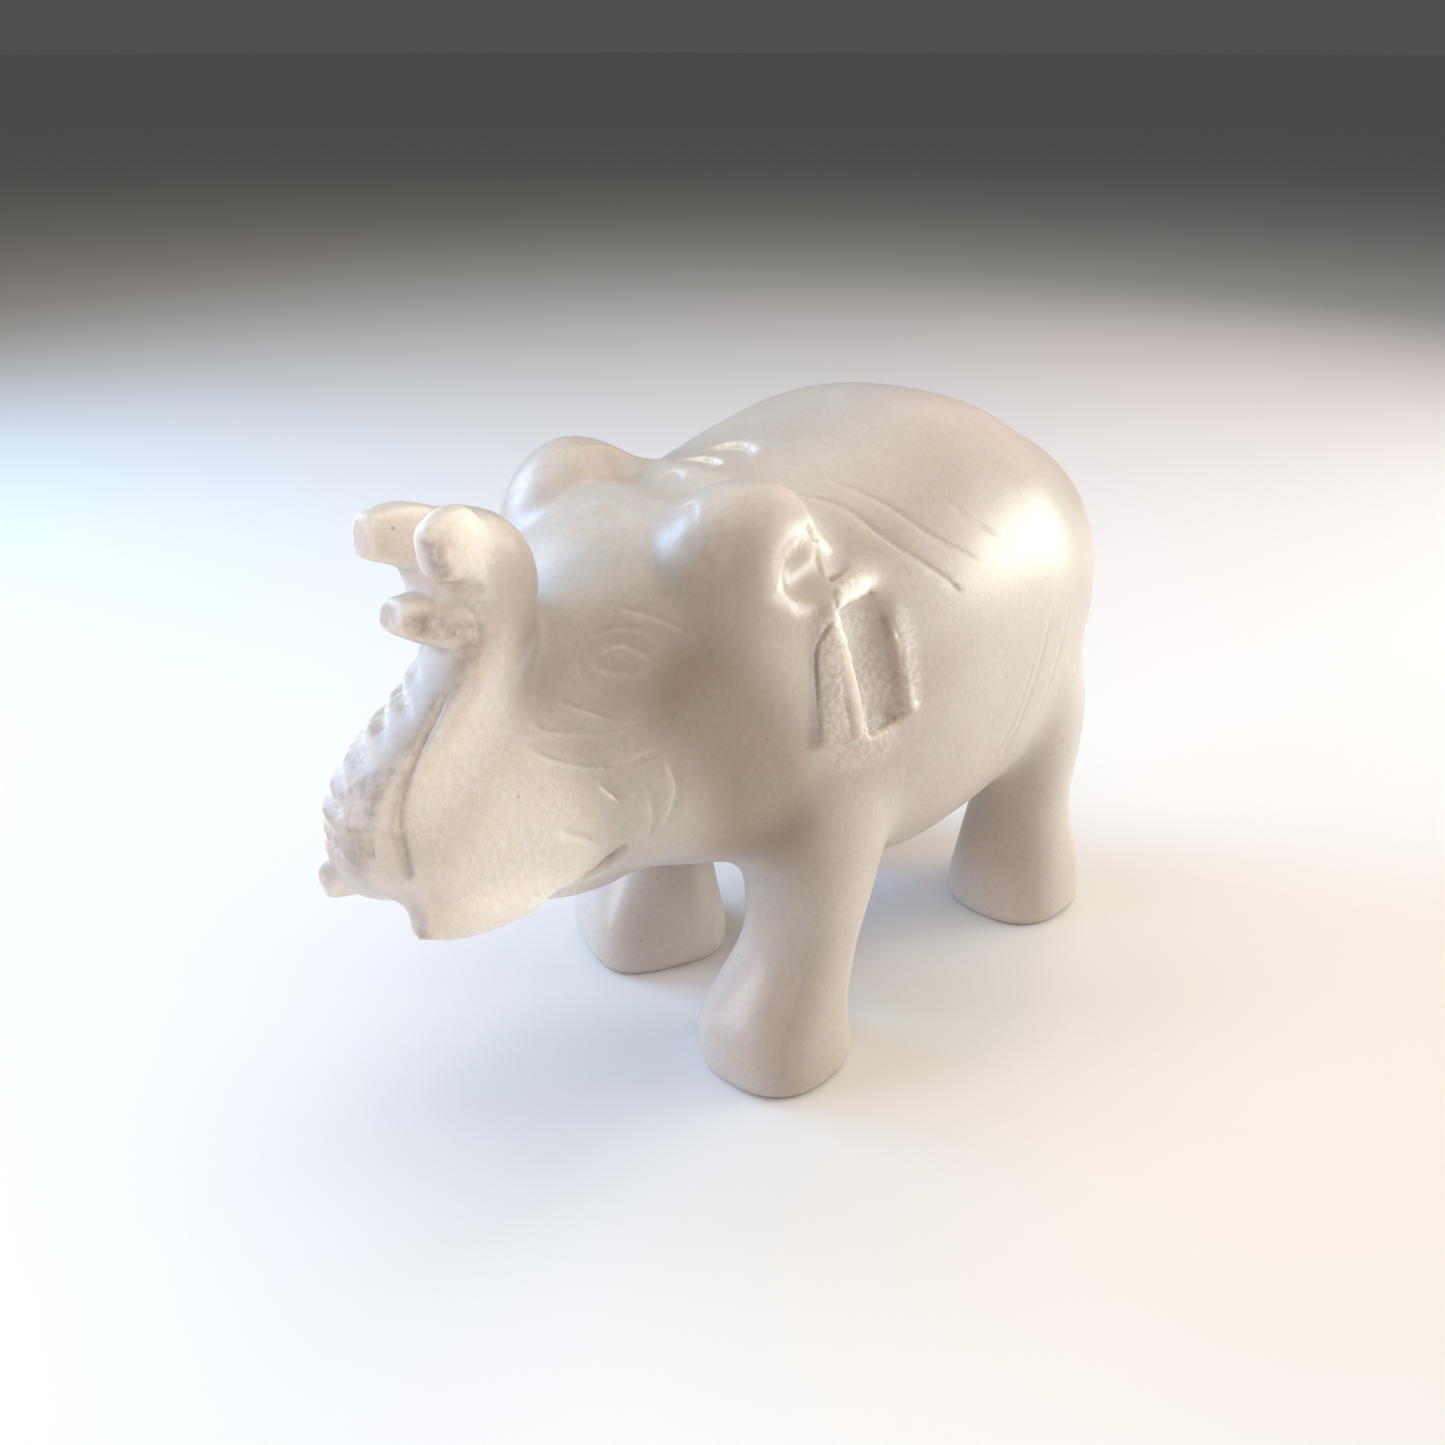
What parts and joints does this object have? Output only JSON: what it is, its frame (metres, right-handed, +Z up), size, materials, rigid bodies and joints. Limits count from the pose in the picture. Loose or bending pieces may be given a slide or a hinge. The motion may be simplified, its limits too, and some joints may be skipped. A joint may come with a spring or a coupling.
{
  "type": "elephant figurine",
  "caption": "Small standing elephant carved from one block of pale stone, trunk raised, legs apart, ears and tail in relief; rests on its flat soles.",
  "frame": {"origin": "on the ground, under the middle of the figure's bounding box", "axes": "+X to the elephant's own left, +Y towards its rump, +Z up; it faces -Y"},
  "size_m": [0.0437, 0.1012, 0.0634],
  "materials": {
    "polished_stone": "polished, waxy, slightly translucent",
    "worn_stone": "chalkier, handled, with grime in the cuts"
  },
  "bodies": {
    "root": {"torso": "polished_stone", "head": "polished_stone", "trunk": "worn_stone", "lower_lip": "worn_stone", "left_ear": "polished_stone", "right_ear": "polished_stone", "left_tusk": "worn_stone", "right_tusk": "worn_stone", "left_front_leg": "polished_stone", "right_front_leg": "polished_stone", "left_hind_leg": "polished_stone", "right_hind_leg": "polished_stone", "tail": "polished_stone"}
  },
  "joints": []
}
